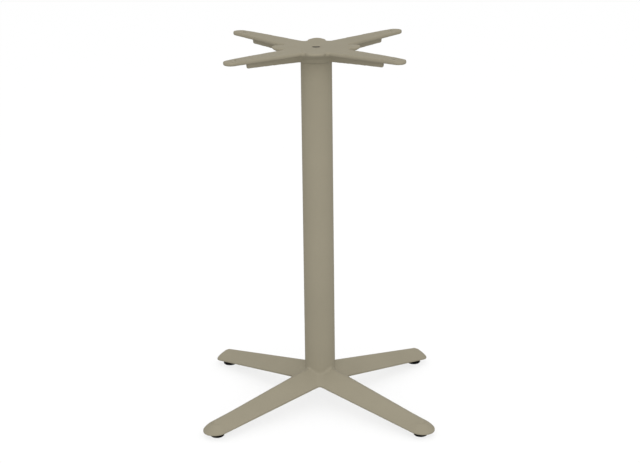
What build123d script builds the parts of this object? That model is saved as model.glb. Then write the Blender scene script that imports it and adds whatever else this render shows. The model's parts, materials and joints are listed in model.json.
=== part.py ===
"""Four-legged pedestal table base: cast legs, tubular column and a four-armed top bracket.

Millimetres, +Z up. The origin is on the column's axis, on the floor. The legs and the bracket's arms
lie on the diagonals between +X and +Y. A tie rod inside the column clamps the three large pieces.
"""

import os
from math import atan2, cos, hypot, radians, sin, tan

from build123d import *

# Overall
height = 720.0
diagonal_angle = 45.0
leg_count = 4
arm_count = 4
lobe_count = 4

# Column
column_d = 60.0
column_wall = 2.5
socket_clearance = 0.1
joint_chamfer = 0.5

# Legs: widths and ridge heights are measured on the plane of the rim, which falls to the feet
foot_circle_d = 551.0
rim_hub_z = 48.5
rim_foot_z = 13.1
leg_root_s = 15.0
leg_root_width = 77.6
leg_tip_width = 53.6
leg_shoulder_s = 205.0
flank_angle = 32.4
rim_lip = 3.0
ridge_radius = 6.0
tip_bulge = 2.6
tip_drop = 0.8
tip_overrun = 1.7
crotch_radius = 8.0
valley_radius = 36.0
valley_sink = 0.8
valley_bite = 0.05

# Inside of the base casting
casting_wall = 4.5
hollow_reach = 30.0
web_thickness = 5.0
web_foot = 7.0
collar_wall = 6.0
hub_floor_z = 48.0
hub_floor_thickness = 7.0
foot_boss_d = 22.0
foot_boss_top_z = 28.0

# Levelling feet
pad_d = 27.0
pad_height = 10.0
pad_floor_chamfer = 2.0
pad_boss_gap = 0.4
stud_d = 8.0
stud_length = 20.0
stud_seat_depth = 6.0
stud_clearance = 0.08
stud_tip_chamfer = 0.8
stud_end_gap = 1.0

# Top bracket, with distances from the axis along an arm or a lobe
seat_rise = 3.4
boss_height = 26.4
plate_thickness = 4.5
plate_inset = 0.8
top_chamfer = 0.6
bottom_chamfer = 1.6
steepest_face = 30.0
arm_root_radius = 29.0
arm_tip_radius = 13.5
arm_tip_s = 217.0
arm_rise_s = 68.0
arm_start_s = 40.0
arm_seat_s = 190.0
arm_thickness = 6.5
lobe_centre_s = 67.0
lobe_radius = 17.5
lobe_blend_radius = 8.0
lobe_start_s = 38.0
lobe_taper_length = 10.5
lobe_rise = 2.0
lobe_thickness = 5.0
lobe_tip_thickness = 3.8
lobe_top_chamfer = 1.4
keel_start_s = 20.0
keel_end_s = 176.0
keel_start_depth = 24.6
keel_end_depth = 13.8
keel_start_width = 42.0
keel_end_width = 12.0
keel_bottom_width = 4.5
keel_bottom_radius = 1.8
spigot_length = 10.0
spigot_clearance = 0.15
spigot_wall = 5.0
hub_roof = 12.0
thread_boss_d = 26.0
screw_hole_d = 5.0
arm_hole_s = 205.0

# Tie rod and what clamps it
rod_d = 12.0
rod_thread_clearance = 0.05
rod_top_depth = 9.0
rod_hole_d = 13.5
rod_tip_chamfer = 1.2
rod_well_d = 16.0
washer_d = 30.0
washer_thickness = 2.5
nut_across_flats = 18.0
nut_height = 10.0
nut_chamfer_angle = 30.0
rod_below_nut = 1.5

# Levels and radii that follow from the sizes above
hub_top_z = height - seat_rise
column_radius = column_d / 2
column_bore_radius = column_radius - column_wall
column_top_z = hub_top_z - boss_height
socket_radius = column_radius + socket_clearance
collar_radius = socket_radius + collar_wall
hub_bottom_z = hub_floor_z - hub_floor_thickness
foot_radius = foot_circle_d / 2
pad_boss_z = pad_height + pad_boss_gap
stud_bottom_z = pad_height - stud_seat_depth
stud_top_z = stud_bottom_z + stud_length
spigot_radius = column_bore_radius - spigot_clearance
arm_end_s = arm_tip_s + arm_tip_radius
lobe_end_s = lobe_centre_s + lobe_radius
lobe_taper_s = lobe_end_s - lobe_taper_length
lobe_top_z = hub_top_z + lobe_rise
rod_washer_z = hub_bottom_z - washer_thickness
nut_z = rod_washer_z - nut_height
rod_bottom_z = nut_z - rod_below_nut
rod_top_z = hub_top_z - rod_top_depth
rod_bore_radius = rod_d / 2 + rod_thread_clearance

# Frame of one leg along +X: X runs down the rim, Y across the leg, Z square to the plane of the rim
rim_tilt = atan2(rim_hub_z - rim_foot_z, foot_radius)
leg_frame = Plane(
    origin=(0, 0, rim_hub_z),
    x_dir=(cos(rim_tilt), 0, -sin(rim_tilt)),
    z_dir=(sin(rim_tilt), 0, cos(rim_tilt)),
)
leg_tip_s = foot_radius / cos(rim_tilt)
flank_slope = radians(flank_angle)


def leg_half_width(s):
    """Half the leg's width, which tapers from root to tip."""
    taper = (s - leg_root_s) / (leg_tip_s - leg_root_s)
    return (leg_root_width + (leg_tip_width - leg_root_width) * taper) / 2


def roof_section(s):
    """Gable over a leg, with eaves that run out to the plane of the rim. Its tip is crowned and lower."""
    ridge = leg_half_width(s) * tan(flank_slope) + rim_lip
    eave = ridge / tan(flank_slope)
    tip_eave = leg_half_width(s) + tip_overrun
    with BuildSketch() as section:
        with BuildLine():
            if s < leg_tip_s:
                Polyline((-eave, 0), (0, ridge), (0, 0), (-eave, 0))
            else:
                Polyline((0, ridge - tip_drop), (0, 0), (-tip_eave, 0))
                SagittaArc((-tip_eave, 0), (0, ridge - tip_drop), tip_bulge)
        make_face()
        mirror(about=Plane.YZ)
        fillet(section.vertices().group_by(Axis.Y)[-1], ridge_radius)
    return section.sketch


def hollow_section(s):
    """Gabled hollow under a leg, one wall inside it. It runs on below the rim."""
    side = leg_half_width(s) - casting_wall
    lip = rim_lip - casting_wall * (1 - sin(flank_slope)) / cos(flank_slope)
    ridge = lip + side * tan(flank_slope)
    with BuildSketch() as section:
        with BuildLine():
            Polyline(
                (0, ridge),
                (-side, lip),
                (-side, -hollow_reach),
                (side, -hollow_reach),
                (side, lip),
                close=True,
            )
        make_face()
    return section.sketch


def leg_form(draw_section):
    """One leg along +X with a half-round tip, lofted through the sections that are drawn at its stations."""
    root, shoulder, tip = (draw_section(s) for s in (leg_root_s, leg_shoulder_s, leg_tip_s))
    root_plane, shoulder_plane, tip_plane = (
        Plane(leg_frame.from_local_coords((s, 0, 0)), x_dir=leg_frame.y_dir, z_dir=leg_frame.x_dir)
        for s in (leg_root_s, leg_shoulder_s, leg_tip_s)
    )
    with BuildPart() as form:
        with BuildSketch(root_plane):
            add(root)
        with BuildSketch(shoulder_plane):
            add(shoulder)
        loft(ruled=True)
        with BuildSketch(shoulder_plane):
            add(shoulder)
        with BuildSketch(tip_plane):
            add(tip)
        loft(ruled=True)
        with BuildSketch(tip_plane):
            add(tip)
            split(bisect_by=Plane.YZ, keep=Keep.BOTTOM)
        revolve(axis=Axis(tip_plane.origin, leg_frame.z_dir), revolution_arc=180)
    return form.part


def ring(inner_radius, outer_radius, bottom, thickness):
    """Flat ring about the column's axis."""
    with BuildPart() as made:
        with BuildSketch(Plane.XY.offset(bottom)):
            Circle(outer_radius)
            Circle(inner_radius, mode=Mode.SUBTRACT)
        extrude(amount=thickness)
    return made


def write(made, name):
    """Labels a finished piece and writes its file."""
    made.part.label = name
    export_step(made.part, f"parts/{name}.step")


os.makedirs("parts", exist_ok=True)

# Hollow under one leg, less the collar, the web and the foot boss that stand in it
with BuildPart() as leg_hollow:
    add(leg_form(hollow_section))
    with BuildSketch():
        Circle(collar_radius)
        with Locations((foot_radius, 0)):
            Circle(foot_boss_d / 2)
    extrude(amount=height, mode=Mode.SUBTRACT)
    with BuildSketch(leg_frame.offset(web_foot)):
        with Locations((foot_radius / 2, 0)):
            Rectangle(foot_radius, web_thickness)
    extrude(amount=leg_root_width, mode=Mode.SUBTRACT)

# Outline of one leg along +X
with BuildSketch() as leg_outline:
    with BuildLine():
        Polyline(
            (leg_root_s, leg_half_width(leg_root_s)),
            (leg_root_s, -leg_half_width(leg_root_s)),
            (foot_radius, -leg_half_width(leg_tip_s)),
            (foot_radius, leg_half_width(leg_tip_s)),
            close=True,
        )
    make_face()
    with Locations((foot_radius, 0)):
        Circle(leg_half_width(leg_tip_s))

# Rounding of one valley, between the two legs beside +X. The facing flanks meet on a line in the XZ plane.
flank_rise = tan(flank_slope)
flank_taper = (leg_half_width(0) - leg_half_width(leg_tip_s)) / leg_tip_s
flank_normal = (
    leg_frame.x_dir * flank_taper * flank_rise - leg_frame.y_dir * flank_rise + leg_frame.z_dir
).rotate(Axis.Z, diagonal_angle)
flank_point = leg_frame.from_local_coords((0, -leg_half_width(0) - rim_lip / flank_rise, 0))
flank_point = flank_point.rotate(Axis.Z, diagonal_angle)
valley_frame = Plane(
    origin=(0, 0, flank_normal.dot(flank_point) / flank_normal.Z),
    x_dir=(0, 1, 0),
    z_dir=(flank_normal.Z, 0, -flank_normal.X),
)
valley_rise = -flank_normal.Y / hypot(flank_normal.X, flank_normal.Z)
valley_half_width = valley_radius * sin(atan2(valley_rise, 1))
with BuildPart() as valley_fill:
    with BuildSketch(valley_frame):
        with BuildLine():
            Polyline(
                (0, -valley_sink),
                (valley_half_width, valley_half_width * valley_rise - valley_sink),
                (-valley_half_width, valley_half_width * valley_rise - valley_sink),
                close=True,
            )
        make_face()
        with Locations((0, valley_radius * hypot(1, valley_rise) - valley_bite)):
            Circle(valley_radius, mode=Mode.SUBTRACT)
    extrude(amount=leg_root_width)

# Base casting: four roofs trimmed to the outline, socket for the column, hollows, foot bosses
with BuildPart() as base_casting:
    with PolarLocations(0, leg_count, start_angle=diagonal_angle):
        add(leg_form(roof_section))
    with PolarLocations(0, leg_count):
        add(valley_fill.part)
    Cylinder(socket_radius, height, rotation=(0, 0, diagonal_angle), mode=Mode.SUBTRACT)
    with BuildSketch():
        Circle(collar_radius)
        with PolarLocations(0, leg_count, start_angle=diagonal_angle):
            add(leg_outline.sketch)
        offset(amount=crotch_radius)
        offset(amount=-crotch_radius)
    extrude(amount=height, mode=Mode.INTERSECT)
    with PolarLocations(0, leg_count, start_angle=diagonal_angle):
        add(leg_hollow.part, mode=Mode.SUBTRACT)
    with BuildSketch(Plane.XY.offset(hub_bottom_z)):
        Circle(collar_radius)
        Circle(rod_hole_d / 2, mode=Mode.SUBTRACT)
    extrude(amount=hub_floor_thickness)
    with BuildSketch(Plane.XY.offset(hub_floor_z)):
        Circle(collar_radius)
        Circle(socket_radius, mode=Mode.SUBTRACT)
    extrude(amount=rim_hub_z + rim_lip - hub_floor_z)
    with BuildSketch(Plane.XY.offset(pad_boss_z)):
        with PolarLocations(foot_radius, leg_count, start_angle=diagonal_angle):
            Circle(foot_boss_d / 2)
    extrude(amount=foot_boss_top_z - pad_boss_z)
    with BuildSketch(Plane.XY.offset(pad_boss_z)):
        with PolarLocations(foot_radius, leg_count, start_angle=diagonal_angle):
            Circle(stud_d / 2 + stud_clearance)
    extrude(amount=stud_top_z + stud_end_gap - pad_boss_z, mode=Mode.SUBTRACT)
write(base_casting, "base_casting")

# Column tube
with BuildPart() as column_tube:
    add(ring(column_bore_radius, column_radius, hub_floor_z, column_top_z - hub_floor_z).part)
    chamfer(column_tube.faces().sort_by(Axis.Z)[-1].outer_wire().edges(), joint_chamfer)
write(column_tube, "column_tube")


def arm_outline(inset):
    """Outline of one arm along +X. The inset keeps the hub plate's share of it inside the arm."""
    with BuildSketch() as outline:
        Circle(arm_root_radius - inset)
        with Locations((arm_tip_s, 0)):
            Circle(arm_tip_radius - inset)
        make_hull()
    return outline.sketch


def lobe_outline(inset):
    """Outline of one lobe along +X, inset like an arm's."""
    with BuildSketch() as outline:
        Circle(lobe_radius - inset)
        with Locations((lobe_centre_s, 0)):
            Circle(lobe_radius - inset)
        make_hull()
    return outline.sketch


def finger(outline, side_points):
    """Arm or lobe along +X with the given outline from above and the given points of its side view."""
    with BuildPart() as made:
        with BuildSketch(Plane.XY.offset(column_top_z)):
            add(outline)
        extrude(amount=height - column_top_z)
        with BuildSketch(Plane.XZ):
            with BuildLine():
                Polyline(side_points, close=True)
            make_face()
        extrude(amount=arm_root_radius, both=True, mode=Mode.INTERSECT)
        undersides = made.faces().filter_by(lambda f: f.normal_at().Z < -cos(radians(steepest_face)))
        chamfer(undersides.edges().filter_by(Axis.Y, reverse=True), bottom_chamfer)
    return made.part


# One arm: flat at the hub, then rising to a flat seat at its tip
arm_side = [
    (arm_start_s, hub_top_z),
    (arm_rise_s, hub_top_z),
    (arm_seat_s, height),
    (arm_end_s, height),
    (arm_end_s, height - arm_thickness),
    (arm_rise_s, hub_top_z - arm_thickness),
    (arm_start_s, hub_top_z - arm_thickness),
]
arm = finger(arm_outline(0), arm_side)

# One lobe: rising all the way, thinner at its tip, with a rounder top
lobe_side = [
    (lobe_start_s, hub_top_z),
    (lobe_end_s, lobe_top_z),
    (lobe_end_s, lobe_top_z - lobe_tip_thickness),
    (lobe_taper_s, hub_top_z - lobe_thickness),
    (lobe_start_s, hub_top_z - lobe_thickness),
]
with BuildPart() as lobe:
    add(finger(lobe_outline(0), lobe_side))
    lobe_top = lobe.faces().sort_by(Axis.Z)[-1]
    chamfer(lobe_top.edges().filter_by(Axis.Y, reverse=True), lobe_top_chamfer)

# Tapered keel under one arm
with BuildPart() as keel:
    keel_top_z = hub_top_z - plate_thickness / 2
    for s, depth, width in (
        (keel_start_s, keel_start_depth, keel_start_width),
        (keel_end_s, keel_end_depth, keel_end_width),
    ):
        with BuildSketch(Plane.YZ.offset(s)) as keel_section:
            with BuildLine():
                Polyline(
                    (-width / 2, keel_top_z),
                    (width / 2, keel_top_z),
                    (keel_bottom_width / 2, hub_top_z - depth),
                    (-keel_bottom_width / 2, hub_top_z - depth),
                    close=True,
                )
            make_face()
            fillet(keel_section.vertices().group_by(Axis.Y)[0], keel_bottom_radius)
    loft(ruled=True)

# Hub plate, blended into the arms and the lobes
with BuildPart() as hub_plate:
    with BuildSketch(Plane.XY.offset(hub_top_z)):
        with PolarLocations(0, arm_count, start_angle=diagonal_angle):
            add(arm_outline(plate_inset))
        with PolarLocations(0, lobe_count):
            add(lobe_outline(plate_inset))
        offset(amount=lobe_blend_radius)
        offset(amount=-lobe_blend_radius)
        Circle(lobe_taper_s, mode=Mode.INTERSECT)
    extrude(amount=-plate_thickness)
    chamfer(hub_plate.faces().sort_by(Axis.Z)[0].edges(), bottom_chamfer)
    chamfer(hub_plate.faces().sort_by(Axis.Z)[-1].edges(), top_chamfer)

# Boss on the column
with BuildPart() as boss:
    with BuildSketch(Plane.XY.offset(column_top_z)):
        Circle(column_radius)
    extrude(amount=boss_height - plate_thickness / 2)
    chamfer(boss.edges().group_by(Axis.Z)[0], joint_chamfer)

# Top bracket
with BuildPart() as top_spider:
    add(hub_plate.part)
    with PolarLocations(0, arm_count, start_angle=diagonal_angle):
        add(arm)
        add(keel.part)
    with PolarLocations(0, lobe_count):
        add(lobe.part)
    add(boss.part)
    with BuildSketch(Plane.XY.offset(column_top_z - spigot_length)):
        Circle(spigot_radius)
    extrude(amount=spigot_length)
    with BuildSketch(Plane.XY.offset(column_top_z - spigot_length)):
        Circle(spigot_radius - spigot_wall)
        Circle(thread_boss_d / 2, mode=Mode.SUBTRACT)
    extrude(amount=spigot_length + boss_height - hub_roof, mode=Mode.SUBTRACT)
    with Locations((0, 0, hub_top_z)):
        CounterBoreHole(rod_bore_radius, rod_well_d / 2, rod_top_depth, depth=boss_height + spigot_length)
    with Locations(Plane.XY.offset(height)):
        with PolarLocations(arm_hole_s, arm_count, start_angle=diagonal_angle):
            Hole(screw_hole_d / 2, depth=2 * arm_thickness)
write(top_spider, "top_spider")

# Tie rod with its washer and nut
with BuildPart() as tie_rod:
    with BuildSketch(Plane.XY.offset(rod_bottom_z)):
        Circle(rod_d / 2)
    extrude(amount=rod_top_z - rod_bottom_z)
    chamfer(tie_rod.edges().filter_by(GeomType.CIRCLE), rod_tip_chamfer)
write(tie_rod, "tie_rod")
write(ring(rod_hole_d / 2, washer_d / 2, rod_washer_z, washer_thickness), "rod_washer")
with BuildPart() as rod_nut:
    with BuildSketch(Plane.XY.offset(nut_z)):
        RegularPolygon(nut_across_flats / 2, 6, major_radius=False)
    extrude(amount=nut_height)
    with BuildSketch(Plane.XZ):
        with BuildLine():
            Polyline(
                (nut_across_flats / 2, nut_z),
                (nut_across_flats, nut_z + nut_across_flats / 2 * tan(radians(nut_chamfer_angle))),
                (nut_across_flats, nut_z),
                close=True,
            )
        make_face()
    revolve(axis=Axis.Z, mode=Mode.SUBTRACT)
    with Locations((0, 0, nut_z + nut_height)):
        Hole(rod_bore_radius, depth=nut_height)
write(rod_nut, "rod_nut")

# Levelling feet: a moulded pad on a threaded stud under each leg
with BuildPart() as foot_pad:
    with BuildSketch():
        Circle(pad_d / 2)
    extrude(amount=pad_height)
    chamfer(foot_pad.edges().group_by(Axis.Z)[0], pad_floor_chamfer)
    with Locations((0, 0, pad_height)):
        Hole(stud_d / 2, depth=stud_seat_depth)
with BuildPart() as foot_stud:
    with BuildSketch(Plane.XY.offset(stud_bottom_z)):
        Circle(stud_d / 2)
    extrude(amount=stud_length)
    chamfer(foot_stud.edges().group_by(Axis.Z)[-1], stud_tip_chamfer)
for number in range(leg_count):
    for name, piece in (("foot_pad", foot_pad), ("foot_stud", foot_stud)):
        with BuildPart() as placed_piece:
            with PolarLocations(foot_radius, 1, start_angle=diagonal_angle + 360 / leg_count * number):
                add(piece.part)
        write(placed_piece, f"{name}_{number + 1}")
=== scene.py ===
"""Pedestal table base with a matte powder coat on a pale floor, seen from slightly above."""

import json
from math import cos, pi, radians, sin

import bmesh
import bpy
from mathutils import Matrix, Vector
from mathutils.bvhtree import BVHTree


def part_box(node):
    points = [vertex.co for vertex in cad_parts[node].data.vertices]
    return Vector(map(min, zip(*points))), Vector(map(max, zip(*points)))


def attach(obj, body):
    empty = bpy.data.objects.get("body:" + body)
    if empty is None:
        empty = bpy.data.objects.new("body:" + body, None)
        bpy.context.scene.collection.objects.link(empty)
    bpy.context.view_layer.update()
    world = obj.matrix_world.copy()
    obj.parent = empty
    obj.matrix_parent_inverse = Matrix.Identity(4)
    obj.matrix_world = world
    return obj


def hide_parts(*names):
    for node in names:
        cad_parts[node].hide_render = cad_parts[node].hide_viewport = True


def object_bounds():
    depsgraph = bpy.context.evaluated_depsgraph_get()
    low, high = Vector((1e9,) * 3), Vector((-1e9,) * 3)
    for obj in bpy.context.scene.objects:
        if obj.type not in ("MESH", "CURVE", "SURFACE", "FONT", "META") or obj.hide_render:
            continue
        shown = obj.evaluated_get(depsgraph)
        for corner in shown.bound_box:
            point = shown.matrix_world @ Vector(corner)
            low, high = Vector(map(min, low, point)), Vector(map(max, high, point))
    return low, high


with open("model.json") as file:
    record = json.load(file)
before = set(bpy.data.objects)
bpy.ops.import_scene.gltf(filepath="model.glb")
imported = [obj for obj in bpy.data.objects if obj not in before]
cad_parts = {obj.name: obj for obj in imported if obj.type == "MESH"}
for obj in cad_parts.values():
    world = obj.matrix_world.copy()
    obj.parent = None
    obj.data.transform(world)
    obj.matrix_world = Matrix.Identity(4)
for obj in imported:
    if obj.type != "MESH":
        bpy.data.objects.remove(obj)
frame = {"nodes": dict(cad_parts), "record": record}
cad_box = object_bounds()
scene = bpy.context.scene

# Metres in a millimetre, for the record's sizes. All other lengths are in metres
MM = 0.001
UP = Vector((0, 0, 1))

# Image size that the camera is worked out for
IMAGE_WIDTH = 640
IMAGE_HEIGHT = 463

# Camera, in metres, degrees and pixels
CAMERA_TURN = 1.15
CAMERA_DISTANCE = 3.4024
CAMERA_HEIGHT = 1.3654
CAMERA_PITCH = 16.655
CAMERA_ROLL = -0.687
CAMERA_PAN = 0.114
FOCAL_PIXELS = 1807.78
PRINCIPAL_POINT = (321.87, 232.29)
SENSOR_WIDTH = 36.0

# Light
SKY_STRENGTH = 0.83
KEY_POWER = 168.0
KEY_SIZE = 6.0
KEY_PLACE = (0.4, -6.6, 4.2)
FILL_POWER = 10.5
FILL_SIZE = 2.0
FILL_PLACE = (0.3, -3.2, 0.3)
LAMP_TARGET = (0, 0, 0.4)
FLOOR_SIZE = 40.0
FLOOR_LEVEL = -0.0002
FLOOR_CLEAR = 0.79

# Linear colours
WHITE = (1, 1, 1)
COAT_COLOR = (0.332, 0.300, 0.224)
STEEL_COLOR = (0.56, 0.56, 0.53)
# Bare iron in the bracket's well, darkened further with painted shade for the inside of the hole
BARE_IRON_AND_SHADE_COLOR = (0.15, 0.139, 0.118)
PAD_COLOR = (0.004, 0.004, 0.004)
FLOOR_COLOR = (0.24, 0.24, 0.24)
FLOOR_BOUNCE = (0.54, 0.54, 0.53)

# Finishes: how far the colour drifts, scales of the patches and the grain, depth of the grain, range of
# roughness, metal or not, strength of reflections and radius of the edges
COAT_FINISH = {
    "drift": 0.04,
    "patch_scale": 9.0,
    "grain_scale": 800.0,
    "grain_depth": 0.0004,
    "rough": (0.60, 0.72),
    "metallic": 0.0,
    "gloss": 0.06,
    "edge": 0.0006,
}
BRACKET_FINISH = {**COAT_FINISH, "edge": 0.0018}
TUBE_FINISH = {
    "drift": 0.03,
    "patch_scale": 7.0,
    "grain_scale": 900.0,
    "grain_depth": 0.0003,
    "rough": (0.58, 0.68),
    "metallic": 0.0,
    "gloss": 0.06,
    "edge": 0.0004,
}
STEEL_FINISH = {
    "drift": 0.10,
    "patch_scale": 60.0,
    "grain_scale": 500.0,
    "grain_depth": 0.0001,
    "rough": (0.30, 0.45),
    "metallic": 1.0,
    "gloss": 0.5,
    "edge": 0.0003,
}
PAD_FINISH = {
    "drift": 0.15,
    "patch_scale": 40.0,
    "grain_scale": 900.0,
    "grain_depth": 0.0002,
    "rough": (0.50, 0.62),
    "metallic": 0.0,
    "gloss": 0.05,
    "edge": 0.0006,
}
PATCH_DETAIL = 5.0
PATCH_LOW = 0.3
PATCH_HIGH = 0.7
GRAIN_DETAIL = 2.0
GRAIN_STRENGTH = 0.35
EDGE_SAMPLES = 6

# Threads of the feet. The flanks' slope and the crest's share set how wide the crests and the roots are
FOOT_COUNT = 4
THREAD_PITCH = 0.00125
THREAD_DEPTH_SHARE = 0.55
THREAD_FLANK_SLOPE = 2.0
THREAD_CREST_SHARE = 0.5
THREAD_STEPS = 8
THREAD_SIDES = 32
STUD_CHAMFER = 0.0008

# Softened top bracket
BRACKET_VOXEL = 0.00125
BRACKET_GROWTH = 0.0007
BRACKET_SOFTENING = 14
SHARP_ANGLE = 50.0
KEEL_END_REACH = 0.170
KEEL_END_LEVEL = 0.706
KEEL_END_DROP = 0.0018
LOBE_ROOT_LEVEL = 0.7174
LOBE_HALF_WIDTH = 0.024
LOBE_CROWN = 0.0118
LOBE_CROWN_POWER = 4

# Cone under the bracket's hub: its section, outwards and up from the top edge of the column
CONE_SECTION = (
    (-0.004, 0.001),
    (0.005, 0.001),
    (0.008, 0.004),
    (0.012, 0.010),
    (0.024, 0.017),
    (0.036, 0.0205),
    (-0.004, 0.022),
)
CONE_SIDES = 96

# Holes of the bracket: the uncoated well in its hub, whose dark colour also carries painted shade, and
# screws in its arms from the first one round
WELL_RADIUS = 0.0081
FIRST_ARM_ANGLE = pi / 4
DRILL_SIDES = 48

# Bead that fills the seam at the column's foot
BEAD_SIZE = 0.005
BEAD_SINK = 0.0004
BEAD_SIDES = 192
BEAD_STEPS = 6


def link(tree, start, end):
    """Joins an output socket to an input socket."""
    tree.links.new(start, end)


def noise(tree, scale, detail):
    """Socket of a noise that is fixed to the object."""
    spot = tree.nodes.new("ShaderNodeTexCoord")
    made = tree.nodes.new("ShaderNodeTexNoise")
    made.inputs["Scale"].default_value = scale
    made.inputs["Detail"].default_value = detail
    link(tree, spot.outputs["Object"], made.inputs["Vector"])
    return made.outputs["Fac"]


def add_patches(tree, shader, color, finish):
    """Lets a shader's colour and roughness drift from place to place."""
    patches = noise(tree, finish["patch_scale"], PATCH_DETAIL)
    ramp = tree.nodes.new("ShaderNodeValToRGB")
    dark, light = ramp.color_ramp.elements
    dark.position = PATCH_LOW
    light.position = PATCH_HIGH
    dark.color = (*[c * (1 - finish["drift"]) for c in color], 1)
    light.color = (*[c * (1 + finish["drift"]) for c in color], 1)
    link(tree, patches, ramp.inputs["Fac"])
    link(tree, ramp.outputs["Color"], shader.inputs["Base Color"])
    sheen = tree.nodes.new("ShaderNodeMapRange")
    sheen.inputs["To Min"].default_value = finish["rough"][0]
    sheen.inputs["To Max"].default_value = finish["rough"][1]
    link(tree, patches, sheen.inputs["Value"])
    link(tree, sheen.outputs["Result"], shader.inputs["Roughness"])


def add_grain(tree, shader, finish):
    """Gives a shader fine grain and softened edges."""
    bevel = tree.nodes.new("ShaderNodeBevel")
    bevel.samples = EDGE_SAMPLES
    bevel.inputs["Radius"].default_value = finish["edge"]
    bump = tree.nodes.new("ShaderNodeBump")
    bump.inputs["Strength"].default_value = GRAIN_STRENGTH
    bump.inputs["Distance"].default_value = finish["grain_depth"]
    link(tree, noise(tree, finish["grain_scale"], GRAIN_DETAIL), bump.inputs["Height"])
    link(tree, bevel.outputs["Normal"], bump.inputs["Normal"])
    link(tree, bump.outputs["Normal"], shader.inputs["Normal"])


def surface(name, color, finish):
    """Material of one colour and finish."""
    made = bpy.data.materials.new(name)
    made.use_nodes = True
    shader = made.node_tree.nodes["Principled BSDF"]
    shader.inputs["Metallic"].default_value = finish["metallic"]
    shader.inputs["Specular IOR Level"].default_value = finish["gloss"]
    add_patches(made.node_tree, shader, color, finish)
    add_grain(made.node_tree, shader, finish)
    return made


def bare_and_shaded_well(made, radius, color):
    """Leaves a material's coat off inside the given radius about the column's axis, in a dark colour that
    is partly bare iron and partly painted shade in the well.
    """
    tree = made.node_tree
    shader = tree.nodes["Principled BSDF"]
    painted = shader.inputs["Base Color"].links[0].from_socket
    split = tree.nodes.new("ShaderNodeSeparateXYZ")
    link(tree, tree.nodes.new("ShaderNodeTexCoord").outputs["Object"], split.inputs["Vector"])
    flat = tree.nodes.new("ShaderNodeCombineXYZ")
    link(tree, split.outputs["X"], flat.inputs["X"])
    link(tree, split.outputs["Y"], flat.inputs["Y"])
    away = tree.nodes.new("ShaderNodeVectorMath")
    away.operation = "LENGTH"
    link(tree, flat.outputs["Vector"], away.inputs[0])
    inside = tree.nodes.new("ShaderNodeMath")
    inside.operation = "LESS_THAN"
    link(tree, away.outputs["Value"], inside.inputs[0])
    inside.inputs[1].default_value = radius
    mix = tree.nodes.new("ShaderNodeMix")
    mix.data_type = "RGBA"
    link(tree, inside.outputs["Value"], mix.inputs["Factor"])
    link(tree, painted, mix.inputs["A"])
    mix.inputs["B"].default_value = (*color, 1)
    link(tree, mix.outputs["Result"], shader.inputs["Base Color"])


coat = surface("powder_coat", COAT_COLOR, COAT_FINISH)
tube_coat = surface("powder_coat_tube", COAT_COLOR, TUBE_FINISH)
bracket_coat = surface("powder_coat_bracket", COAT_COLOR, BRACKET_FINISH)
# Dark well in the bracket's hub: bare iron with painted shade of the hole
bare_and_shaded_well(bracket_coat, WELL_RADIUS, BARE_IRON_AND_SHADE_COLOR)
steel = surface("zinc_steel", STEEL_COLOR, STEEL_FINISH)
pad_plastic = surface("pad_plastic", PAD_COLOR, PAD_FINISH)
by_slot = {"casting": coat, "tube": tube_coat, "steel": steel, "pad": pad_plastic}
for entry in frame["record"]["subparts"]:
    node = frame["nodes"][entry["node"]]
    node.data.materials.clear()
    node.data.materials.append(by_slot[entry["material_slot"]])


def show(name, mesh):
    """Object that puts a mesh into the scene."""
    made = bpy.data.objects.new(name, mesh)
    scene.collection.objects.link(made)
    return made


def show_shell(name, shell):
    """Object made from a bmesh, which is freed."""
    mesh = bpy.data.meshes.new(name)
    shell.to_mesh(mesh)
    shell.free()
    return show(name, mesh)


def coat_smoothly(mesh, material):
    """Gives a mesh one material and smooth shading, with creases only at sharp edges."""
    mesh.materials.clear()
    mesh.materials.append(material)
    mesh.shade_smooth()
    mesh.set_sharp_from_angle(angle=radians(SHARP_ANGLE))


def thread_points(low, high, rings):
    """Points of a threaded stud that fills the given box, ring by ring from its bottom."""
    middle_x, middle_y = (low[0] + high[0]) / 2, (low[1] + high[1]) / 2
    crest = (high[0] - low[0]) / 2
    depth = THREAD_DEPTH_SHARE * THREAD_PITCH
    points = []
    for ring in range(rings + 1):
        z = low[2] + (high[2] - low[2]) * ring / rings
        widest = crest - max(0, STUD_CHAMFER - (high[2] - z))
        for step in range(THREAD_SIDES):
            angle = 2 * pi * step / THREAD_SIDES
            phase = ((z - low[2]) / THREAD_PITCH - step / THREAD_SIDES) % 1
            wave = 1 - abs(2 * phase - 1)
            groove = max(0, min(1, THREAD_FLANK_SLOPE * wave - THREAD_CREST_SHARE))
            radius = min(widest, crest - depth * groove)
            points.append((middle_x + radius * cos(angle), middle_y + radius * sin(angle), z))
    return points


def thread(name, low, high):
    """Threaded stud that fills the given box, turned about its middle, with a chamfer at its top."""
    rings = round((high[2] - low[2]) / THREAD_PITCH * THREAD_STEPS)
    faces = []
    for ring in range(rings):
        row, above = ring * THREAD_SIDES, (ring + 1) * THREAD_SIDES
        for step in range(THREAD_SIDES):
            after = (step + 1) % THREAD_SIDES
            faces.append((row + step, row + after, above + after, above + step))
    faces.append(tuple(reversed(range(THREAD_SIDES))))
    faces.append(tuple(range(rings * THREAD_SIDES, (rings + 1) * THREAD_SIDES)))
    mesh = bpy.data.meshes.new(name)
    mesh.from_pydata(thread_points(low, high, rings), [], faces)
    mesh.materials.append(steel)
    return show(name, mesh)


# Threads of the levelling feet, which show when a foot is let down
for number in range(1, FOOT_COUNT + 1):
    stud = thread(f"stud_thread_{number}", *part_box(f"foot_stud_{number}"))
    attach(stud, f"foot_{number}")
    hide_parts(f"foot_stud_{number}")


def add_ring(shell, sections):
    """Adds a closed ring about the column's axis, through evenly spaced sections of radius and height."""
    rows = []
    for step, section in enumerate(sections):
        angle = 2 * pi * step / len(sections)
        rows.append([shell.verts.new((r * cos(angle), r * sin(angle), z)) for r, z in section])
    for row, after in zip(rows, rows[1:] + rows[:1]):
        for i in range(len(row)):
            shell.faces.new((row[i - 1], after[i - 1], after[i], row[i]))


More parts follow.
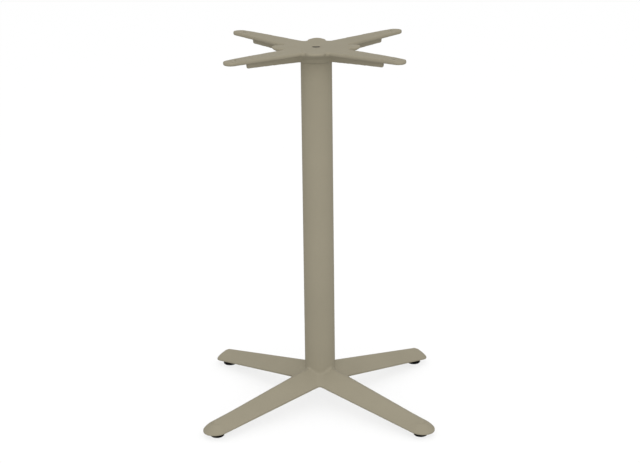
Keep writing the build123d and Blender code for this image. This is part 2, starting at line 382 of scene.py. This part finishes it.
def bead_section(seam, far):
    """Section of the bead, out from the column and up, over the casting's heights at its two edges."""
    section = [(-BEAD_SINK, seam - BEAD_SINK), (BEAD_SIZE, far - BEAD_SINK)]
    for step in range(BEAD_STEPS + 1):
        t = step / BEAD_STEPS
        height = far * (1 - t) ** 2 + 2 * seam * t * (1 - t) + (seam + BEAD_SIZE) * t**2
        section.append((BEAD_SIZE * (1 - t) ** 2, height))
    section.append((-BEAD_SINK, seam + BEAD_SIZE))
    return section


def seam_bead(name):
    """Hollow round of coat between the column and the top of the base casting."""
    casting = frame["nodes"]["base_casting"].data
    tree = BVHTree.FromPolygons([v.co for v in casting.vertices], [p.vertices for p in casting.polygons])
    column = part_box("column_tube")[1]
    sections = []
    for side in range(BEAD_SIDES):
        angle = 2 * pi * side / BEAD_SIDES
        outward = Vector((cos(angle), sin(angle), 0))
        seam, far = (
            tree.ray_cast(outward * (column.x + out) + UP * column.z, -UP)[0].z
            for out in (BEAD_SINK, BEAD_SIZE)
        )
        sections.append([(column.x + out, height) for out, height in bead_section(seam, far)])
    shell = bmesh.new()
    add_ring(shell, sections)
    made = show_shell(name, shell)
    coat_smoothly(made.data, coat)
    return made


def drill(name):
    """Cutter for the screw holes in the bracket's arms and the well in its hub."""
    screws = next(mount for mount in frame["record"]["mounts"] if mount["name"] == "arm_screws")["dims"]
    low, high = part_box("top_spider")
    reach = screws["pcd_mm"] * MM / 2
    holes = [(0, 0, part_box("tie_rod")[1].z, WELL_RADIUS)]
    for arm in range(screws["count"]):
        angle = FIRST_ARM_ANGLE + 2 * pi * arm / screws["count"]
        holes.append((reach * cos(angle), reach * sin(angle), low.z, screws["hole_r_mm"] * MM))
    shell = bmesh.new()
    for x, y, bottom, radius in holes:
        top = high.z + radius
        bmesh.ops.create_cone(
            shell,
            cap_ends=True,
            segments=DRILL_SIDES,
            radius1=radius,
            radius2=radius,
            depth=top - bottom,
            matrix=Matrix.Translation((x, y, (top + bottom) / 2)),
        )
    return show_shell(name, shell)


def bracket_blank(name):
    """Copy of the bracket's solid with the ends of its keels let down and a cone under its hub."""
    shell = bmesh.new()
    shell.from_mesh(frame["nodes"]["top_spider"].data)
    for corner in shell.verts:
        if corner.co.xy.length > KEEL_END_REACH and corner.co.z < KEEL_END_LEVEL:
            corner.co.z -= KEEL_END_DROP
    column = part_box("column_tube")[1]
    section = [(column.x + out, column.z + rise) for out, rise in CONE_SECTION]
    add_ring(shell, [section] * CONE_SIDES)
    return show_shell(name, shell)


def soften(made, cutter):
    """Rounds the edges of an object, fills its corners and then drills it."""
    remesh = made.modifiers.new("remesh", "REMESH")
    remesh.mode = "VOXEL"
    remesh.voxel_size = BRACKET_VOXEL
    grow = made.modifiers.new("grow", "DISPLACE")
    grow.strength = BRACKET_GROWTH
    grow.mid_level = 0.0
    smooth = made.modifiers.new("smooth", "SMOOTH")
    smooth.iterations = BRACKET_SOFTENING
    bore = made.modifiers.new("bore", "BOOLEAN")
    bore.operation = "DIFFERENCE"
    bore.object = cutter
    done = made.evaluated_get(bpy.context.evaluated_depsgraph_get())
    made.data = bpy.data.meshes.new_from_object(done)
    made.modifiers.clear()


def crown_lobes(mesh):
    """Lets the tops of the lobes fall off to their sides, and keeps the bracket within the CAD's height."""
    for corner in mesh.vertices:
        across = min(abs(corner.co.x), abs(corner.co.y))
        rise = min(corner.co.z, cad_box[1][2]) - LOBE_ROOT_LEVEL
        if rise > 0 and across < LOBE_HALF_WIDTH:
            rise /= 1 + (across / LOBE_CROWN) ** LOBE_CROWN_POWER
        corner.co.z = LOBE_ROOT_LEVEL + rise


def cast_bracket(name):
    """Top bracket as it leaves its mould."""
    made = bracket_blank(name)
    cutter = drill(name + "_drill")
    soften(made, cutter)
    bpy.data.objects.remove(cutter)
    crown_lobes(made.data)
    coat_smoothly(made.data, bracket_coat)
    return made


bead = seam_bead("column_bead")
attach(bead, "stand")
bracket = cast_bracket("bracket")
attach(bracket, "stand")
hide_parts("top_spider")


def on_show(tree):
    """Socket that is 1 for what the camera sees straight, in a reflection or through a surface."""
    rays = tree.nodes.new("ShaderNodeLightPath")
    straight = tree.nodes.new("ShaderNodeMath")
    straight.operation = "MAXIMUM"
    link(tree, rays.outputs["Is Camera Ray"], straight.inputs[0])
    link(tree, rays.outputs["Is Glossy Ray"], straight.inputs[1])
    either = tree.nodes.new("ShaderNodeMath")
    either.operation = "MAXIMUM"
    link(tree, straight.outputs[0], either.inputs[0])
    link(tree, rays.outputs["Is Transmission Ray"], either.inputs[1])
    return either.outputs[0]


def floor_material(name):
    """Veil over the white behind it to the camera, and a plain grey for the light that it throws back."""
    made = bpy.data.materials.new(name)
    made.use_nodes = True
    tree = made.node_tree
    tree.nodes.remove(tree.nodes["Principled BSDF"])
    matte = tree.nodes.new("ShaderNodeBsdfDiffuse")
    matte.inputs["Color"].default_value = (*FLOOR_COLOR, 1)
    clear = tree.nodes.new("ShaderNodeBsdfTransparent")
    clear.inputs["Color"].default_value = (FLOOR_CLEAR, FLOOR_CLEAR, FLOOR_CLEAR, 1)
    veil = tree.nodes.new("ShaderNodeAddShader")
    link(tree, matte.outputs["BSDF"], veil.inputs[0])
    link(tree, clear.outputs["BSDF"], veil.inputs[1])
    bounce = tree.nodes.new("ShaderNodeBsdfDiffuse")
    bounce.inputs["Color"].default_value = (*FLOOR_BOUNCE, 1)
    mixed = tree.nodes.new("ShaderNodeMixShader")
    link(tree, on_show(tree), mixed.inputs["Fac"])
    link(tree, bounce.outputs["BSDF"], mixed.inputs[1])
    link(tree, veil.outputs["Shader"], mixed.inputs[2])
    link(tree, mixed.outputs["Shader"], tree.nodes["Material Output"].inputs["Surface"])
    return made


# Floor, which keeps a soft shadow and lets a foot show that is let down through it
bpy.ops.mesh.primitive_plane_add(size=FLOOR_SIZE, location=(0, 0, FLOOR_LEVEL))
floor = bpy.context.object
floor.name = "floor"
floor.data.materials.append(floor_material("floor_coat"))


def add_sky(name):
    """World that is white to the camera and in reflections, and softer as a light."""
    world = bpy.data.worlds.new(name)
    scene.world = world
    world.use_nodes = True
    tree = world.node_tree
    seen = tree.nodes["Background"]
    seen.inputs["Color"].default_value = (*WHITE, 1)
    seen.inputs["Strength"].default_value = 1.0
    lit = tree.nodes.new("ShaderNodeBackground")
    lit.inputs["Color"].default_value = (*WHITE, 1)
    lit.inputs["Strength"].default_value = SKY_STRENGTH
    mixed = tree.nodes.new("ShaderNodeMixShader")
    link(tree, on_show(tree), mixed.inputs["Fac"])
    link(tree, lit.outputs["Background"], mixed.inputs[1])
    link(tree, seen.outputs["Background"], mixed.inputs[2])
    link(tree, mixed.outputs["Shader"], tree.nodes["World Output"].inputs["Surface"])


def add_lamp(name, power, size, spot):
    """Square lamp at a spot, turned to the middle of the object."""
    light = bpy.data.lights.new(name, "AREA")
    light.energy = power
    light.size = size
    lamp = show(name, light)
    lamp.location = spot
    lamp.rotation_euler = (Vector(LAMP_TARGET) - Vector(spot)).to_track_quat("-Z", "Y").to_euler()


def camera_matrix():
    """Place and directions of the camera."""
    turn = radians(CAMERA_TURN)
    heading = radians(CAMERA_PAN - CAMERA_TURN)
    pitch = radians(CAMERA_PITCH)
    roll = radians(CAMERA_ROLL)
    forward = Vector((sin(heading) * cos(pitch), cos(heading) * cos(pitch), -sin(pitch)))
    level_right = forward.cross(UP).normalized()
    level_up = level_right.cross(forward)
    right = level_right * cos(roll) + level_up * sin(roll)
    up = -level_right * sin(roll) + level_up * cos(roll)
    place = Vector((CAMERA_DISTANCE * sin(turn), -CAMERA_DISTANCE * cos(turn), CAMERA_HEIGHT))
    rows = [(right[i], up[i], -forward[i], place[i]) for i in range(3)]
    return Matrix((*rows, (0, 0, 0, 1)))


def add_camera(name):
    """Camera that takes the picture."""
    lens = bpy.data.cameras.new(name)
    lens.sensor_fit = "HORIZONTAL"
    lens.sensor_width = SENSOR_WIDTH
    lens.lens = FOCAL_PIXELS / IMAGE_WIDTH * SENSOR_WIDTH
    lens.shift_x = (IMAGE_WIDTH / 2 - PRINCIPAL_POINT[0]) / IMAGE_WIDTH
    lens.shift_y = (PRINCIPAL_POINT[1] - IMAGE_HEIGHT / 2) / IMAGE_WIDTH
    camera = show(name, lens)
    camera.matrix_world = camera_matrix()
    scene.camera = camera


# Sky, key light high in front, low fill for the undersides, and camera
add_sky("studio")
add_lamp("key", KEY_POWER, KEY_SIZE, KEY_PLACE)
add_lamp("fill", FILL_POWER, FILL_SIZE, FILL_PLACE)
add_camera("camera")

scene.view_settings.view_transform = "Standard"
